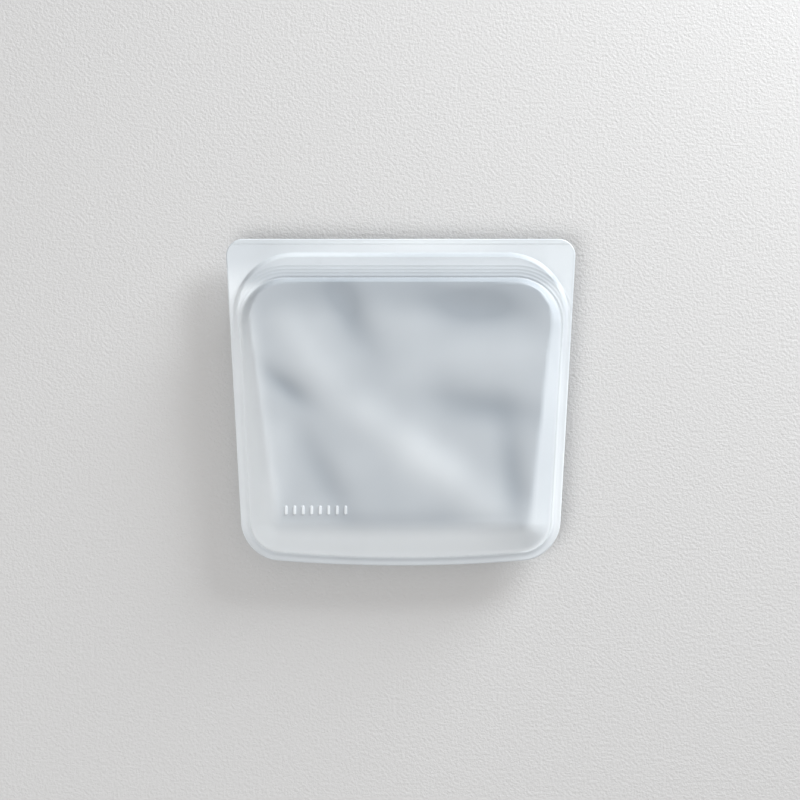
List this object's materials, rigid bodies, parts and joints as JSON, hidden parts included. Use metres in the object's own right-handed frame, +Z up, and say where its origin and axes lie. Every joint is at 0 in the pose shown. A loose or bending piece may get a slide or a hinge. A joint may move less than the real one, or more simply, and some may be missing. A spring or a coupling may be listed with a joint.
{
  "type": "reusable silicone bag",
  "caption": "Flat translucent silicone food bag with a bonded rim, a raised pocket and a press-together ribbed seal across its mouth, lying closed on its back.",
  "frame": {"origin": "centre of the bag's outline, on the surface that its back lies on", "axes": "+X across the bag to its right as seen from its front, +Y from its base to its mouth, +Z up, out of its front"},
  "size_m": [0.1902, 0.178, 0.0243],
  "materials": {
    "bag_silicone": "frosted translucent",
    "seal_silicone": "translucent",
    "seam_silicone": "translucent"
  },
  "bodies": {
    "bag": {"front_wall": "bag_silicone", "front_corner_left": "bag_silicone", "front_corner_right": "bag_silicone", "back_wall": "bag_silicone", "back_corner_left": "bag_silicone", "back_corner_right": "bag_silicone", "left_seam": "seam_silicone", "right_seam": "seam_silicone", "base_seam": "seam_silicone", "seal_end_left": "seal_silicone", "seal_end_right": "seal_silicone", "raised_mark": "bag_silicone"},
    "front_mouth": {"front_mouth_panel": "bag_silicone", "front_lip": "bag_silicone", "rib_strip": "seal_silicone", "seal_rib_lower": "seal_silicone", "seal_rib_upper": "seal_silicone"},
    "back_mouth": {"back_mouth_panel": "bag_silicone", "back_lip": "bag_silicone", "groove_strip": "seal_silicone", "groove_rail_lower": "seal_silicone", "groove_rail_middle": "seal_silicone", "groove_rail_upper": "seal_silicone"}
  },
  "joints": [
    {"name": "front_mouth_hinge", "type": "hinge", "parent": "bag", "child": "front_mouth", "pos_m": [0, 0.04315, 0.024], "axis": [1, 0, 0], "range_deg": [0, 45], "stiffness_Nm_per_rad": 0.1, "springref_deg": -5.73},
    {"name": "back_mouth_hinge", "type": "hinge", "parent": "bag", "child": "back_mouth", "pos_m": [0, 0.04315, 0], "axis": [-1, 0, 0], "range_deg": [0, 12.5], "stiffness_Nm_per_rad": 0.15, "springref_deg": -5.73}
  ]
}
